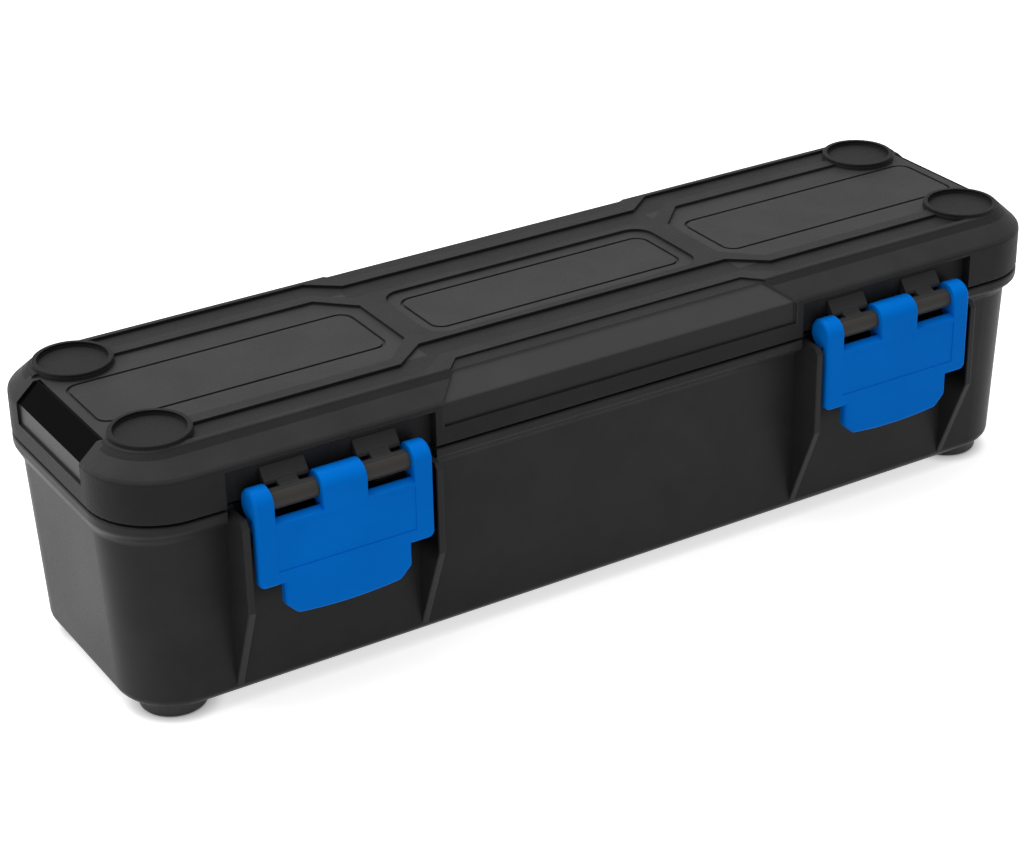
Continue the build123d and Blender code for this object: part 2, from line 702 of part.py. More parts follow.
def main():
    """Builds and writes every node."""
    os.makedirs("parts", exist_ok=True)
    save("base_tub", base_tub())
    save("base_liner", base_liner())
    save("lid_shell", lid_shell())
    save("lid_seal", lid_seal())
    save("lid_pad", lid_pad())
    for name, side in SIDES.items():
        x = side * FITTING_X
        save(f"latch_lever_{name}", latch_lever(x))
        save(f"latch_pin_{name}", pivot_pin(x, LATCH_AXIS_Y, PIVOT_Z))
        save(f"hinge_pin_{name}", pivot_pin(x, HINGE_AXIS_Y, HINGE_Z))
        save(f"foot_front_{name}", foot(side * FOOT_X, -FOOT_Y))
        save(f"foot_rear_{name}", foot(side * FOOT_X, FOOT_Y))


main()
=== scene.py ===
import math

import bmesh
import bpy
from mathutils import Matrix, Vector, noise


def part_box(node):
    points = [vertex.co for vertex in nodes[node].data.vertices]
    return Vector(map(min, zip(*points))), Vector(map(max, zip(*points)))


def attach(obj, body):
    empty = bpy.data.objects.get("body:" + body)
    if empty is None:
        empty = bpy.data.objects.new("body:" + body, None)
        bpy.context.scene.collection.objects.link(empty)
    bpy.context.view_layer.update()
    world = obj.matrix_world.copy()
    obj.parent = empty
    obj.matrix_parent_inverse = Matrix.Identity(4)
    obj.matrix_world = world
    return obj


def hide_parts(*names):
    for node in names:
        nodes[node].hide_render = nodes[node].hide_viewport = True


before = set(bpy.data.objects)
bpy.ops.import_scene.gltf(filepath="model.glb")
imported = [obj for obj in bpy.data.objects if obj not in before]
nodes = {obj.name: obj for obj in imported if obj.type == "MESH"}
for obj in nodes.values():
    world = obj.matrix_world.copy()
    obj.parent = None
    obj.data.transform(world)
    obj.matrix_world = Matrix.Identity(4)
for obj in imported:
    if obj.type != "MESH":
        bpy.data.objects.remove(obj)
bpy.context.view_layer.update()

MM = 0.001

# Sizes that match the CAD source, in millimetres
LENGTH = 387.0
WIDTH = 110.0
CORNER_R = 25.5
FLOOR_LENGTH = 376.0
FLOOR_WIDTH = 96.2
FLOOR_CORNER_R = 21.0
FLOOR_Z = 5.5
WALL_TOP_LENGTH = 383.0
WALL_TOP_WIDTH = 97.0
WALL_TOP_CORNER_R = 21.5
WALL_TOP_Z = 71.5
LINER_TOP_Z = 46.0
SPOOL_R = 37.5
TROUGH_AXIS_Z = 48.0
TROUGH_HALF_LENGTH = 172.0
FITTING_X = 116.4

# Foam pieces, lengths in millimetres
LINER_INSET = 3.6
LINER_SIDE_INSET = 4.4
LINER_LAND_Z = 45.9
LINER_BOTTOM_Z = 8.35
LINER_TOP_EDGE_R = 2.2
LINER_BOTTOM_EDGE_R = 1.2
BRIM_SOFT = 1.1
TROUGH_LIFT = 0.1
TROUGH_END_SOFT = 0.35
TROUGH_END_REACH = 8.0
TROUGH_END_STEPS = (-2.4, -1.5, -0.9, -0.5, -0.2, 0.2, 0.5, 0.9, 1.5, 2.4)
PAD_CLEARANCE = 0.2
PAD_CORNER_R = 11.3
PAD_EDGE_R = 2.4
PAD_TOP_GAP = 0.03
PAD_FACE_GAP = 0.4
PAD_CROWN_SHARE = 0.6
EDGE_STEPS = (0.0, 0.25, 0.6, 1.1, 1.8, 2.8, 4.2)
SIDE_ROWS = 6

# Seal, lengths in millimetres
SEAL_INSET = 1.2
SEAL_HALF_WIDTH = 1.12
SEAL_TOP_HALF_WIDTH = 0.95
SEAL_NOSE_HEIGHT = 1.05
SEAL_NOSE_STEPS = 12
SEAL_PATH_STEP = 3.0
SEAL_JOINT_X = 40.0
SEAL_JOINT_SQUEEZE = 0.9

# Edges between the tones and the painted light and shade of the plastics, lengths in millimetres
EDGE_SOFT = 0.1
PANEL_SIDE_SOFT = 0.2
POCKET_HALF_X = 35.2
POCKET_LOW_Z = 42.0
POCKET_FADE = 5.0
POCKET_BACK_Y = -46.0
PLATEAU_Z = (102.6, 103.5)
SUNKEN_Z = (101.0, 102.5)
DISH_Z = (102.45, 102.9)
RING_LOW_Z = 103.6
RING_INNER_X = 154.0
SLOPE_LOW_Z = 95.4
SLOPE_FADE = 0.5
SLOPE_HIGH_Z = 102.5
PANEL_HALF_X = 65.0
PANEL_FOLD_Y = 46.0
PANEL_FLARE = 1.07
PANEL_INNER_Y = 45.8
PANEL_Z = (86.9, 102.2)
WINDOW_INNER_X = 184.2
WINDOW_HALF_Y = 26.25
WINDOW_LOW_Z = 87.5
WINDOW_SLOPE_Z = 95.2
WINDOW_SLOPE_SOFT = 0.2
FITTING_SPAN_X = (88.0, 145.0)
BARREL_BACK_Y = -53.55
BARREL_SOFT = 0.05
BARREL_Z = (77.0, 84.3)
HOOD_BACK_Y = -51.3
HOOD_Z = (84.4, 91.8)
CHANNEL_OUTER_Y = 30.5
CHANNEL_INNER_Y = 21.5
CHANNEL_MIDDLE_X = 66.0

# Tones of the plastics as level, scale of drift and share of drift. They were matched to the
# photograph under the lamps below, so faces of one plastic differ more than the plastic does:
# the differences hold painted light and shade, on the lid's faces, hoods and window slopes
# and on the base behind the latches.
BASE_TONE = (0.029, 45.0, 0.12)
LID_TONE = (0.021, 60.0, 0.10)
SLOPE_LIT_TONE = (0.037, 60.0, 0.10)
PLATEAU_SHADING_TONE = (0.026, 60.0, 0.10)
SUNKEN_SHADING_TONE = (0.038, 60.0, 0.08)
CHANNEL_SHADING_TONE = (0.019, 60.0, 0.08)
DISH_SHADING_TONE = (0.016, 60.0, 0.08)
RING_SHADING_TONE = (0.010, 60.0, 0.08)
PANEL_SHADING_TONE = (0.028, 30.0, 0.05)
PANEL_SLOPE_LIT_TONE = (0.066, 30.0, 0.05)
WINDOW_SHADING_TONE = (0.026, 30.0, 0.05)
# Painted shade: the level of the base's wall behind each latch, near black
POCKET_SHADE_LEVEL = 0.004
# Painted light: the level of the hoods over the hinge barrels, lighter than the lid
HOOD_LIT_LEVEL = 0.058
# Painted reflection: the level of each end window's sloped face, near black
WINDOW_SLOPE_REFLECTION_LEVEL = 0.003
BARREL_COLOUR = (0.062, 0.057, 0.051)
BLUE_LOW = (0.000, 0.200, 0.80)
BLUE_HIGH = (0.000, 0.216, 0.85)
STEEL_LOW = (0.44, 0.44, 0.46)
STEEL_HIGH = (0.62, 0.62, 0.64)
FOOT_LEVEL = 0.016
SEAL_LEVEL = 0.035
FOAM_PORE_SHADE_LEVEL = 0.016
FOAM_LEVEL = 0.050
FOAM_BLOTCH_LEVEL = 0.066
DUST_SHARE = 2.4

# Stage, with sizes in metres and levels where 1 is white
PAPER_HALF_SIZE = 6.0
PAPER_COLOUR = 0.80
PAPER_GLOW = 0.80
# Reach and samples of the painted contact shadow, where the floor's glow is cut
CONTACT_SHADOW_REACH = 0.006
CONTACT_SHADOW_SAMPLES = 8
WORLD_LEVEL = 0.36

# Lamps as place, aim, width and height in metres, then power in watts
TOP_LIGHT = ((-0.25, 0.35, 1.55), (0.0, 0.0, 0.08), 1.6, 1.3, 19.0)
LEFT_LIGHT = ((-1.15, 0.75, 0.75), (-0.15, 0.0, 0.06), 0.9, 0.8, 3.6)

# Camera, fitted to the photograph: place and lens in millimetres, reach in metres
CAMERA_PLACE = (-460.34, -732.70, 489.27)
CAMERA_YAW = math.radians(31.351)
CAMERA_PITCH = math.radians(27.446)
CAMERA_ROLL = math.radians(-1.0788)
CAMERA_LENS = 91.74
SENSOR_WIDTH = 36.0
VIEW_REACH = 20.0


# Camera

def make_camera():
    forward = Vector((
        math.sin(CAMERA_YAW) * math.cos(CAMERA_PITCH),
        math.cos(CAMERA_YAW) * math.cos(CAMERA_PITCH),
        -math.sin(CAMERA_PITCH),
    ))
    level_right = Vector((math.cos(CAMERA_YAW), -math.sin(CAMERA_YAW), 0.0))
    level_up = level_right.cross(forward)
    right = math.cos(CAMERA_ROLL) * level_right + math.sin(CAMERA_ROLL) * level_up
    up = math.cos(CAMERA_ROLL) * level_up - math.sin(CAMERA_ROLL) * level_right
    turn = Matrix((right, up, -forward)).transposed()
    camera = bpy.data.objects.new("camera", bpy.data.cameras.new("camera"))
    camera.data.lens = CAMERA_LENS
    camera.data.sensor_width = SENSOR_WIDTH
    camera.data.clip_end = VIEW_REACH
    camera.matrix_world = Matrix.Translation(Vector(CAMERA_PLACE) * MM) @ turn.to_4x4()
    bpy.context.scene.collection.objects.link(camera)
    bpy.context.scene.camera = camera


# Material building blocks

class Tree:
    """A material's node tree, with short calls for the nodes used here."""

    def __init__(self, name):
        self.material = bpy.data.materials.new(name)
        self.material.use_nodes = True
        self.tree = self.material.node_tree
        self.shader = self.tree.nodes["Principled BSDF"]
        coordinates = self.tree.nodes.new("ShaderNodeTexCoord")
        self.place = coordinates.outputs["Object"]
        split = self.tree.nodes.new("ShaderNodeSeparateXYZ")
        self.tree.links.new(self.place, split.inputs[0])
        self.x, self.y, self.z = split.outputs

    def put(self, value, socket):
        """Link the value if it is a socket, and set it otherwise."""
        if isinstance(value, bpy.types.NodeSocket):
            self.tree.links.new(value, socket)
        else:
            socket.default_value = value

    def math(self, operation, first, second=0.0):
        node = self.tree.nodes.new("ShaderNodeMath")
        node.operation = operation
        self.put(first, node.inputs[0])
        self.put(second, node.inputs[1])
        return node.outputs[0]

    def ramp(self, value, low, high, to_low=0.0, to_high=1.0):
        """value from low to high, turned into to_low to to_high, smoothly and clamped."""
        node = self.tree.nodes.new("ShaderNodeMapRange")
        node.interpolation_type = "SMOOTHSTEP"
        self.put(value, node.inputs["Value"])
        node.inputs["From Min"].default_value = low
        node.inputs["From Max"].default_value = high
        node.inputs["To Min"].default_value = to_low
        node.inputs["To Max"].default_value = to_high
        return node.outputs["Result"]

    def above(self, value, edge_mm, soft_mm=EDGE_SOFT):
        """1 where value is above the edge, 0 below it."""
        return self.ramp(value, (edge_mm - soft_mm) * MM, (edge_mm + soft_mm) * MM)

    def below(self, value, edge_mm, soft_mm=EDGE_SOFT):
        """1 where value is below the edge, 0 above it."""
        return self.ramp(value, (edge_mm - soft_mm) * MM, (edge_mm + soft_mm) * MM, 1.0, 0.0)

    def between(self, value, span_mm):
        """1 where value is inside the span, 0 outside it."""
        return self.both(self.above(value, span_mm[0]), self.below(value, span_mm[1]))

    def both(self, *masks):
        """1 where all of the masks are 1."""
        found = masks[0]
        for mask in masks[1:]:
            found = self.math("MULTIPLY", found, mask)
        return found

    def any(self, *masks):
        """1 where one of the masks is 1."""
        found = masks[0]
        for mask in masks[1:]:
            found = self.math("MAXIMUM", found, mask)
        return found

    def noise(self, scale, detail=2.0, roughness=0.5, stretch=None):
        node = self.tree.nodes.new("ShaderNodeTexNoise")
        node.inputs["Scale"].default_value = scale
        node.inputs["Detail"].default_value = detail
        node.inputs["Roughness"].default_value = roughness
        if stretch is None:
            self.tree.links.new(self.place, node.inputs["Vector"])
        else:
            mapping = self.tree.nodes.new("ShaderNodeMapping")
            mapping.inputs["Scale"].default_value = stretch
            self.tree.links.new(self.place, mapping.inputs["Vector"])
            self.tree.links.new(mapping.outputs[0], node.inputs["Vector"])
        return node.outputs["Fac"]

    def cells(self, scale, feature="F1", smooth=0.0):
        node = self.tree.nodes.new("ShaderNodeTexVoronoi")
        node.feature = feature
        node.inputs["Scale"].default_value = scale
        if feature == "SMOOTH_F1":
            node.inputs["Smoothness"].default_value = smooth
        self.tree.links.new(self.place, node.inputs["Vector"])
        return node.outputs["Distance"]

    def colour(self, factor, first, second):
        """first where factor is 0, second where it is 1. Each is a colour or another mix."""
        node = self.tree.nodes.new("ShaderNodeMix")
        node.data_type = "RGBA"
        self.put(factor, node.inputs["Factor"])
        for value, name in ((first, "A"), (second, "B")):
            socket = [s for s in node.inputs if s.name == name and s.type == "RGBA"][0]
            if not isinstance(value, bpy.types.NodeSocket):
                value = (*value, 1.0)
            self.put(value, socket)
        return [s for s in node.outputs if s.type == "RGBA"][0]

    def number(self, factor, first, second):
        """first where factor is 0, second where it is 1."""
        node = self.tree.nodes.new("ShaderNodeMix")
        node.data_type = "FLOAT"
        self.put(factor, node.inputs["Factor"])
        self.put(first, node.inputs["A"])
        self.put(second, node.inputs["B"])
        return node.outputs["Result"]

    def bump(self, height, distance, strength):
        node = self.tree.nodes.new("ShaderNodeBump")
        self.put(strength, node.inputs["Strength"])
        node.inputs["Distance"].default_value = distance
        self.put(height, node.inputs["Height"])
        return node.outputs["Normal"]

    def finish(self, colour, roughness, normal, specular=0.5, metallic=0.0):
        self.put(colour, self.shader.inputs["Base Color"])
        self.put(roughness, self.shader.inputs["Roughness"])
        self.put(specular, self.shader.inputs["Specular IOR Level"])
        self.shader.inputs["Metallic"].default_value = metallic
        self.tree.links.new(normal, self.shader.inputs["Normal"])
        return self.material


def grey(level):
    """A grey with a trace of blue."""
    return (level, level, level * 1.02)


def vary(tree, level, scale, amount):
    """A grey that drifts by amount round its level."""
    low = grey(level * (1 - amount))
    high = grey(level * (1 + amount))
    return tree.colour(tree.ramp(tree.noise(scale, 3.0), 0.3, 0.7), low, high)


# Materials

def base_plastic():
    tree = Tree("base_plastic")
    along = tree.math("ABSOLUTE", tree.x)
    from_fitting = tree.math("ABSOLUTE", tree.math("SUBTRACT", along, FITTING_X * MM))
    # Painted shade: the wall behind each latch, between its guard ribs, is turned near black
    shade_behind_latch = tree.both(
        tree.below(from_fitting, POCKET_HALF_X),
        tree.above(tree.z, POCKET_LOW_Z, POCKET_FADE),
        tree.below(tree.y, POCKET_BACK_Y),
    )
    colour = tree.colour(shade_behind_latch, vary(tree, *BASE_TONE), grey(POCKET_SHADE_LEVEL))
    grain = tree.noise(1500.0)
    flow = tree.ramp(tree.noise(22.0), 0.25, 0.75, to_low=0.40, to_high=0.47)
    fine = tree.ramp(grain, 0.3, 0.7, to_low=-0.03, to_high=0.03)
    roughness = tree.math("ADD", flow, fine)
    normal = tree.bump(grain, distance=0.00008, strength=0.35)
    return tree.finish(colour, roughness, normal, specular=0.10)


def lid_plastic():
    tree = Tree("lid_plastic")
    across = tree.math("ABSOLUTE", tree.y)
    along = tree.math("ABSOLUTE", tree.x)
    plateau = tree.between(tree.z, PLATEAU_Z)
    sunken = tree.between(tree.z, SUNKEN_Z)
    dish = tree.between(tree.z, DISH_Z)
    past_fold = tree.math("SUBTRACT", across, PANEL_FOLD_Y * MM)
    panel_flare = tree.math("MULTIPLY", past_fold, PANEL_FLARE)
    panel_reach = tree.math("ADD", PANEL_HALF_X * MM, panel_flare)
    panel_inside = tree.math("SUBTRACT", panel_reach, along)
    panel = tree.both(
        tree.ramp(panel_inside, -PANEL_SIDE_SOFT * MM, PANEL_SIDE_SOFT * MM),
        tree.above(across, PANEL_INNER_Y),
        tree.between(tree.z, PANEL_Z),
    )
    window = tree.both(
        tree.above(along, WINDOW_INNER_X),
        tree.below(across, WINDOW_HALF_Y),
        tree.above(tree.z, WINDOW_LOW_Z),
    )
    window_slope = tree.both(window, tree.above(tree.z, WINDOW_SLOPE_Z, WINDOW_SLOPE_SOFT))
    barrel = tree.both(
        tree.below(tree.y, BARREL_BACK_Y, BARREL_SOFT),
        tree.between(tree.z, BARREL_Z),
        tree.between(along, FITTING_SPAN_X),
    )
    ring = tree.both(tree.above(tree.z, RING_LOW_Z), tree.above(along, RING_INNER_X))
    slope = tree.both(
        tree.above(tree.z, SLOPE_LOW_Z, SLOPE_FADE),
        tree.below(tree.z, SLOPE_HIGH_Z),
    )
    # Painted light: the hoods' sloped faces over the barrels are made lighter than the lid
    lit_hoods = tree.both(
        tree.below(tree.y, HOOD_BACK_Y),
        tree.between(tree.z, HOOD_Z),
        tree.between(along, FITTING_SPAN_X),
    )
    channel_middle = tree.both(
        tree.above(across, CHANNEL_INNER_Y),
        tree.below(along, CHANNEL_MIDDLE_X),
    )
    channel = tree.both(sunken, tree.any(tree.above(across, CHANNEL_OUTER_Y), channel_middle))
    smooth = tree.any(panel, window, barrel)

    # Painted light and shade: each face of the lid's relief gets its own tone, lighter or darker as
    # light falls on it, over the plastic's own random drift
    colour = vary(tree, *LID_TONE)
    colour = tree.colour(slope, colour, vary(tree, *SLOPE_LIT_TONE))
    colour = tree.colour(lit_hoods, colour, grey(HOOD_LIT_LEVEL))
    colour = tree.colour(plateau, colour, vary(tree, *PLATEAU_SHADING_TONE))
    colour = tree.colour(sunken, colour, vary(tree, *SUNKEN_SHADING_TONE))
    colour = tree.colour(channel, colour, vary(tree, *CHANNEL_SHADING_TONE))
    colour = tree.colour(dish, colour, vary(tree, *DISH_SHADING_TONE))
    colour = tree.colour(ring, colour, vary(tree, *RING_SHADING_TONE))
    colour = tree.colour(panel, colour, vary(tree, *PANEL_SHADING_TONE))
    colour = tree.colour(tree.both(panel, slope), colour, vary(tree, *PANEL_SLOPE_LIT_TONE))
    colour = tree.colour(window, colour, vary(tree, *WINDOW_SHADING_TONE))
    # Painted reflection: the window's sloped face is near black, a dark reflection put into its
    # colour
    colour = tree.colour(window_slope, colour, grey(WINDOW_SLOPE_REFLECTION_LEVEL))
    colour = tree.colour(barrel, colour, BARREL_COLOUR)

    spark = tree.noise(1350.0, roughness=0.6)
    pits = tree.cells(900.0, "SMOOTH_F1", smooth=0.6)
    height = tree.math("ADD", spark, tree.math("MULTIPLY", pits, 0.5))
    coarse = tree.ramp(tree.noise(9.0), 0.3, 0.7, to_low=0.9, to_high=1.1)
    strength = tree.number(plateau, 0.42, 0.62)
    strength = tree.number(smooth, strength, 0.06)
    strength = tree.math("MULTIPLY", strength, coarse)
    roughness = tree.number(plateau, 0.56, 0.60)
    roughness = tree.number(smooth, roughness, 0.34)
    roughness = tree.number(window_slope, roughness, 0.16)
    fine = tree.ramp(spark, 0.3, 0.7, to_low=-0.03, to_high=0.03)
    roughness = tree.math("ADD", roughness, fine)
    normal = tree.bump(height, 0.00022, strength)
    specular = tree.number(window_slope, 0.10, 0.01)
    return tree.finish(colour, roughness, normal, specular)


def latch_plastic():
    tree = Tree("latch_plastic")
    drift = tree.ramp(tree.noise(35.0, detail=3.0), 0.3, 0.7)
    colour = tree.colour(drift, BLUE_LOW, BLUE_HIGH)
    grain = tree.noise(1600.0)
    roughness = tree.ramp(grain, 0.3, 0.7, to_low=0.34, to_high=0.42)
    normal = tree.bump(grain, distance=0.00006, strength=0.30)
    return tree.finish(colour, roughness, normal, specular=0.02)


def rubber(name, level, roughness_low, roughness_high):
    tree = Tree(name)
    colour = vary(tree, level, 80.0, 0.15)
    dust = tree.noise(260.0, detail=4.0, roughness=0.65)
    grain = tree.noise(1900.0)
    dusty = tree.ramp(dust, 0.55, 0.8, to_low=0.0, to_high=0.25)
    colour = tree.colour(dusty, colour, grey(level * DUST_SHARE))
    roughness = tree.ramp(dust, 0.3, 0.75, roughness_low, roughness_high)
    normal = tree.bump(grain, distance=0.00008, strength=0.4)
    return tree.finish(colour, roughness, normal, specular=0.4)


def foam():
    tree = Tree("foam")
    pores = tree.cells(520.0)
    fine = tree.cells(1300.0)
    blotch = tree.noise(28.0, detail=3.0)
    # Painted shade: the foam is darker in the pits of its pores
    deep = tree.ramp(pores, 0.05, 0.42)
    colour = tree.colour(deep, grey(FOAM_PORE_SHADE_LEVEL), grey(FOAM_LEVEL))
    blotchy = tree.ramp(blotch, 0.35, 0.7, to_low=0.0, to_high=0.35)
    colour = tree.colour(blotchy, colour, grey(FOAM_BLOTCH_LEVEL))
    height = tree.math("ADD", deep, tree.math("MULTIPLY", tree.ramp(fine, 0.05, 0.5), 0.4))
    normal = tree.bump(height, distance=0.0004, strength=0.75)
    roughness = tree.ramp(blotch, 0.3, 0.7, to_low=0.86, to_high=0.96)
    return tree.finish(colour, roughness, normal, specular=0.25)


def pin_steel():
    tree = Tree("pin_steel")
    streak = tree.noise(900.0, detail=3.0, roughness=0.6, stretch=(0.04, 1.0, 1.0))
    colour = tree.colour(tree.ramp(streak, 0.3, 0.7), STEEL_LOW, STEEL_HIGH)
    roughness = tree.ramp(streak, 0.25, 0.75, to_low=0.26, to_high=0.40)
    normal = tree.bump(streak, distance=0.00004, strength=0.5)
    return tree.finish(colour, roughness, normal, metallic=1.0)


# Mesh building blocks

def rounded_rectangle(length, width, radius, step):
    """Points round a rounded rectangle, in millimetres, counter-clockwise from the +X side."""
    points = []
    half_x = length / 2 - radius
    half_y = width / 2 - radius
    arc_steps = max(6, int(radius * math.pi / 2 / step))
    corners = [
        (half_x, half_y, 0),
        (-half_x, half_y, 90),
        (-half_x, -half_y, 180),
        (half_x, -half_y, 270),
    ]
    for index, (cx, cy, start) in enumerate(corners):
        for k in range(arc_steps + 1):
            angle = math.radians(start + 90 * k / arc_steps)
            points.append((cx + radius * math.cos(angle), cy + radius * math.sin(angle)))
        nx, ny, turn = corners[(index + 1) % 4]
        angle = math.radians(turn)
        end = (nx + radius * math.cos(angle), ny + radius * math.sin(angle))
        last = points[-1]
        count = max(1, int(math.dist(last, end) / step))
        for k in range(1, count):
            share = k / count
            x = last[0] + share * (end[0] - last[0])
            y = last[1] + share * (end[1] - last[1])
            points.append((x, y))
    return points


def grid_values(half, step):
    """Values from -half to half, closer together near both ends."""
    inner = half - EDGE_STEPS[-1]
    count = max(2, int(2 * inner / step))
    middle = [-inner + 2 * inner * k / count for k in range(count + 1)]
    low = [-half + e for e in EDGE_STEPS[:-1]]
    return low + middle + [-v for v in reversed(low)]


def into_corner(x, y, half_x, half_y, radius):
    """A point of a rectangle, moved so that the rectangle's corners become round."""
    u = abs(x) - (half_x - radius)
    v = abs(y) - (half_y - radius)
    if u <= 0 or v <= 0:
        return x, y
    reach = max(u, v)
    angle = math.atan2(v, u)
    return (
        math.copysign(half_x - radius + reach * math.cos(angle), x),
        math.copysign(half_y - radius + reach * math.sin(angle), y),
    )


def edge_distance(x, y, half_x, half_y):
    """Distance from the rim, measured before the corners are rounded."""
    return min(half_x - abs(x), half_y - abs(y))


def padded_block(name, half_x, half_y, radius, top, bottom, side_inset, xs, ys):
    """A closed block over a rounded rectangle.

    The heights of its top and bottom are functions of x and y, and side_inset is how far
    its side is drawn in at the bottom."""
    mesh = bmesh.new()
    layers = []
    for height, inset in ((top, 0.0), (bottom, side_inset)):
        share_x = (half_x - inset) / half_x
        share_y = (half_y - inset) / half_y
        layer = []
        for x in xs:
            row = []
            for y in ys:
                px, py = into_corner(x, y, half_x, half_y, radius)
                z = height(x, y)
                row.append(mesh.verts.new((px * share_x * MM, py * share_y * MM, z * MM)))
            layer.append(row)
        layers.append(layer)
    upper, lower = layers
    last_i = len(xs) - 1
    last_j = len(ys) - 1
    for i in range(last_i):
        for j in range(last_j):
            mesh.faces.new((upper[i][j], upper[i + 1][j], upper[i + 1][j + 1], upper[i][j + 1]))
            mesh.faces.new((lower[i][j], lower[i][j + 1], lower[i + 1][j + 1], lower[i + 1][j]))
    rim = [(i, 0) for i in range(last_i)] + [(last_i, j) for j in range(last_j)]
    rim += [(i, last_j) for i in range(last_i, 0, -1)] + [(0, j) for j in range(last_j, 0, -1)]
    rows = [[upper[i][j] for i, j in rim]]
    for k in range(1, SIDE_ROWS):
        row = []
        for i, j in rim:
            point = upper[i][j].co.lerp(lower[i][j].co, k / SIDE_ROWS)
            row.append(mesh.verts.new(point))
        rows.append(row)
    rows.append([lower[i][j] for i, j in rim])
    count = len(rim)
    for above, below in zip(rows, rows[1:]):
        for k in range(count):
            following = (k + 1) % count
            mesh.faces.new((above[k], below[k], below[following], above[following]))
    return finish_mesh(name, mesh)


def finish_mesh(name, mesh):
    """Turn a bmesh into a smooth-shaded object of the scene."""
    bmesh.ops.recalc_face_normals(mesh, faces=mesh.faces)
    data = bpy.data.meshes.new(name)
    mesh.to_mesh(data)
    mesh.free()
    for polygon in data.polygons:
        polygon.use_smooth = True
    piece = bpy.data.objects.new(name, data)
    bpy.context.scene.collection.objects.link(piece)
    return piece


def ripple(x, y, seed, size):
    """Smooth noise from about -1 to 1."""
    return noise.noise(Vector((x / size, y / size, seed)))


def edge_round(distance, radius):
    """How far a rounded edge drops, that far from the rim."""
    if distance >= radius:
        return 0.0
    return radius - math.sqrt(max(0.0, radius**2 - (radius - distance) ** 2))


# Soft pieces

def liner_top(x, y, half_x, half_y):
    """Height of the liner's top: flat land, and a trough for spools with a softened brim."""
    land = LINER_LAND_Z + 0.12 * ripple(x, y, 3.1, 26.0) + 0.08 * ripple(x, y, 9.2, 7.0)
    land -= edge_round(edge_distance(x, y, half_x, half_y), LINER_TOP_EDGE_R)
    depth = math.sqrt(max(0.0, SPOOL_R**2 - y**2))
    trough = TROUGH_AXIS_Z - depth + 0.05 * ripple(x, y, 5.7, 9.0) + TROUGH_LIFT
    end = abs(x) - TROUGH_HALF_LENGTH
    if abs(end) < TROUGH_END_REACH:
        wall = 1 / (1 + math.exp(-end / TROUGH_END_SOFT))
    else:
        wall = 1.0 if end > 0 else 0.0
    inside = trough + (land - trough) * wall
    blend = max(0.0, min(1.0, 0.5 + 0.5 * (land - inside) / BRIM_SOFT))
    height = land * (1 - blend) + inside * blend - BRIM_SOFT * blend * (1 - blend) * 0.5
    return min(height, LINER_TOP_Z)


def base_liner():
    share = (LINER_TOP_Z - FLOOR_Z) / (WALL_TOP_Z - FLOOR_Z)
    half_x = (FLOOR_LENGTH + share * (WALL_TOP_LENGTH - FLOOR_LENGTH)) / 2 - LINER_INSET
    half_y = (FLOOR_WIDTH + share * (WALL_TOP_WIDTH - FLOOR_WIDTH)) / 2 - LINER_INSET
    radius = FLOOR_CORNER_R + share * (WALL_TOP_CORNER_R - FLOOR_CORNER_R) - LINER_INSET

    def top(x, y):
        return liner_top(x, y, half_x, half_y)

    def bottom(x, y):
        rim = edge_distance(x, y, half_x, half_y)
        return LINER_BOTTOM_Z + edge_round(rim, LINER_BOTTOM_EDGE_R)

    xs = grid_values(half_x, 3.0)
    for sign in (-1, 1):
        for offset in TROUGH_END_STEPS:
            xs.append(sign * (TROUGH_HALF_LENGTH + offset))
    xs = sorted(xs)
    ys = grid_values(half_y, 1.6)
    piece = padded_block(
        "foam_liner", half_x, half_y, radius, top, bottom, LINER_SIDE_INSET, xs, ys
    )
    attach(piece, "base")
    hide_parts("base_liner")
    return piece


def lid_pad():
    low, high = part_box("lid_pad")
    half_x = high.x / MM - PAD_CLEARANCE
    half_y = high.y / MM - PAD_CLEARANCE
    roof = high.z / MM - PAD_TOP_GAP
    face = low.z / MM + PAD_FACE_GAP

    def top(x, y):
        return roof

    def bottom(x, y):
        crown = 0.25 * ripple(x, y, 2.2, 30.0) + 0.12 * ripple(x, y, 7.7, 8.0)
        rim = edge_distance(x, y, half_x, half_y)
        return face + crown * PAD_CROWN_SHARE + edge_round(rim, PAD_EDGE_R)

    xs = grid_values(half_x, 4.0)
    ys = grid_values(half_y, 3.0)
    piece = padded_block(
        "foam_pad", half_x, half_y, PAD_CORNER_R, top, bottom, PAD_CLEARANCE, xs, ys
    )
    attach(piece, "lid")
    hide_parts("lid_pad")
    return piece


def seal_profile(rest, seat):
    """The D section of the seal, as steps across and heights, from its nose up to its flat back."""
    profile = []
    for k in range(SEAL_NOSE_STEPS + 1):
        angle = math.pi * k / SEAL_NOSE_STEPS
        across = -SEAL_HALF_WIDTH * math.cos(angle)
        profile.append((across, rest + SEAL_NOSE_HEIGHT - 1.0 * math.sin(angle) ** 0.9))
    profile.append((SEAL_HALF_WIDTH, seat - 0.25))
    profile.append((SEAL_TOP_HALF_WIDTH, seat - 0.05))
    profile.append((-SEAL_TOP_HALF_WIDTH, seat - 0.05))
    profile.append((-SEAL_HALF_WIDTH, seat - 0.25))
    return profile


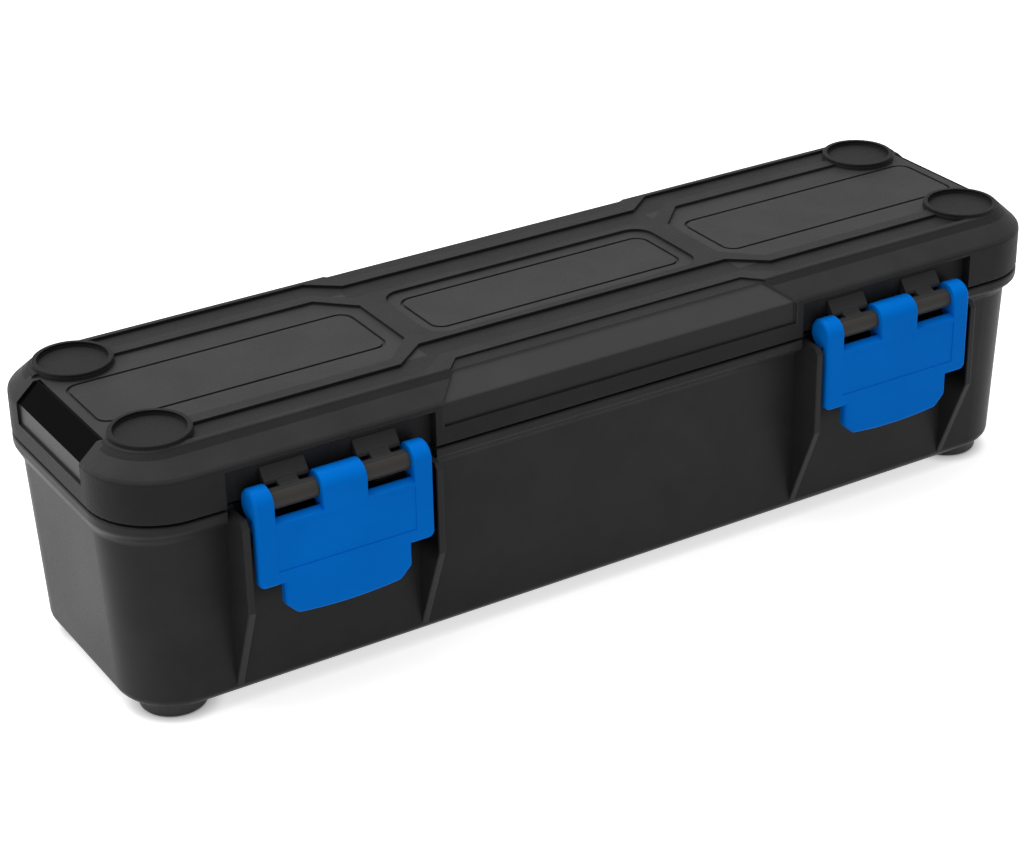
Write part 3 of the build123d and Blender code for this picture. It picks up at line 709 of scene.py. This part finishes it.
def lid_seal():
    """A rubber cord of D section in the groove of the lid, with a butt joint at the back."""
    low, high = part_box("lid_seal")
    middle = LENGTH / 2 - high.x / MM + SEAL_INSET
    rest = low.z / MM
    profile = seal_profile(rest, high.z / MM)
    path = rounded_rectangle(
        LENGTH - 2 * middle, WIDTH - 2 * middle, CORNER_R - middle, SEAL_PATH_STEP
    )

    def from_joint(k):
        x, y = path[k]
        return abs(x - SEAL_JOINT_X) + abs(y - WIDTH / 2 + middle)

    joint_index = min(range(len(path)), key=from_joint)
    mesh = bmesh.new()
    rings = []
    count = len(path)
    for k, (x, y) in enumerate(path):
        before = Vector(path[k - 1])
        after = Vector(path[(k + 1) % count])
        along = (after - before).normalized()
        out = Vector((along.y, -along.x))
        at_joint = k == joint_index
        squeeze = SEAL_JOINT_SQUEEZE if at_joint else 1.0
        lowest = rest + (0.14 if at_joint else 0.02)
        ring = []
        for across, z in profile:
            px = x + out.x * across * squeeze
            py = y + out.y * across * squeeze
            ring.append(mesh.verts.new(Vector((px, py, max(z, lowest))) * MM))
        rings.append(ring)
    size = len(profile)
    for k in range(count):
        following = rings[(k + 1) % count]
        for j in range(size):
            nxt = (j + 1) % size
            mesh.faces.new((rings[k][j], following[j], following[nxt], rings[k][nxt]))
    piece = finish_mesh("seal_ring", mesh)
    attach(piece, "lid")
    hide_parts("lid_seal")
    return piece


# Floor, backdrop and light

def combine(tree, operation, first, second):
    """A math node over a socket and a second socket or number."""
    node = tree.nodes.new("ShaderNodeMath")
    node.operation = operation
    tree.links.new(first, node.inputs[0])
    if isinstance(second, bpy.types.NodeSocket):
        tree.links.new(second, node.inputs[1])
    else:
        node.inputs[1].default_value = second
    return node.outputs[0]


def shown_rays(tree):
    """1 for camera, glossy and transmission rays, which see a white background, else 0."""
    path = tree.nodes.new("ShaderNodeLightPath")
    found = path.outputs["Is Camera Ray"]
    for name in ("Is Glossy Ray", "Is Transmission Ray"):
        found = combine(tree, "MAXIMUM", found, path.outputs[name])
    return found


def paper():
    """The floor's paper. It glows for shown_rays, except where the object stands close: there an
    ambient occlusion node cuts the glow, a painted contact shadow.
    """
    material = bpy.data.materials.new("floor_paper")
    material.use_nodes = True
    tree = material.node_tree
    tree.nodes.clear()
    output = tree.nodes.new("ShaderNodeOutputMaterial")
    diffuse = tree.nodes.new("ShaderNodeBsdfDiffuse")
    diffuse.inputs["Color"].default_value = (PAPER_COLOUR, PAPER_COLOUR, PAPER_COLOUR, 1.0)
    glow = tree.nodes.new("ShaderNodeEmission")
    glow.inputs["Color"].default_value = (1.0, 1.0, 1.0, 1.0)
    share = combine(tree, "MULTIPLY", shown_rays(tree), PAPER_GLOW)
    contact_shadow = tree.nodes.new("ShaderNodeAmbientOcclusion")
    contact_shadow.samples = CONTACT_SHADOW_SAMPLES
    contact_shadow.inputs["Distance"].default_value = CONTACT_SHADOW_REACH
    shaded = combine(tree, "MULTIPLY", share, contact_shadow.outputs["AO"])
    tree.links.new(shaded, glow.inputs["Strength"])
    add = tree.nodes.new("ShaderNodeAddShader")
    tree.links.new(diffuse.outputs[0], add.inputs[0])
    tree.links.new(glow.outputs[0], add.inputs[1])
    tree.links.new(add.outputs[0], output.inputs["Surface"])
    return material


def make_stage():
    data = bpy.data.meshes.new("floor")
    far = PAPER_HALF_SIZE
    corners = [(-far, -far, 0), (far, -far, 0), (far, far, 0), (-far, far, 0)]
    data.from_pydata(corners, [], [(0, 1, 2, 3)])
    floor = bpy.data.objects.new("floor", data)
    bpy.context.scene.collection.objects.link(floor)
    data.materials.append(paper())


def make_world():
    world = bpy.data.worlds.new("studio")
    bpy.context.scene.world = world
    world.use_nodes = True
    tree = world.node_tree
    background = tree.nodes["Background"]
    background.inputs["Color"].default_value = (1.0, 1.0, 1.0, 1.0)
    level = tree.nodes.new("ShaderNodeMapRange")
    tree.links.new(shown_rays(tree), level.inputs["Value"])
    level.inputs["To Min"].default_value = WORLD_LEVEL
    level.inputs["To Max"].default_value = 1.0
    tree.links.new(level.outputs[0], background.inputs["Strength"])


def softbox(name, place, aim, width, height, power):
    lamp = bpy.data.lights.new(name, "AREA")
    lamp.shape = "RECTANGLE"
    lamp.size = width
    lamp.size_y = height
    lamp.energy = power
    holder = bpy.data.objects.new(name, lamp)
    direction = Vector(aim) - Vector(place)
    holder.rotation_euler = direction.to_track_quat("-Z", "Y").to_euler()
    holder.location = place
    bpy.context.scene.collection.objects.link(holder)


def make_lights():
    softbox("top_light", *TOP_LIGHT)
    softbox("left_light", *LEFT_LIGHT)


# The object

def dress_nodes():
    base = base_plastic()
    lid = lid_plastic()
    blue = latch_plastic()
    steel = pin_steel()
    feet = rubber("foot_rubber", FOOT_LEVEL, 0.42, 0.62)
    dressed = {
        "base_tub": base,
        "lid_shell": lid,
        "latch_lever_left": blue,
        "latch_lever_right": blue,
    }
    for name in nodes:
        if "pin" in name:
            dressed[name] = steel
        if name.startswith("foot"):
            dressed[name] = feet
    for name, material in dressed.items():
        slots = nodes[name].data.materials
        slots.clear()
        slots.append(material)


def dress_pieces():
    soft = foam()
    for piece in (base_liner(), lid_pad()):
        piece.data.materials.append(soft)
    lid_seal().data.materials.append(rubber("seal_rubber", SEAL_LEVEL, 0.6, 0.8))


make_camera()
dress_nodes()
dress_pieces()
make_stage()
make_world()
make_lights()
bpy.context.scene.view_settings.view_transform = "Standard"
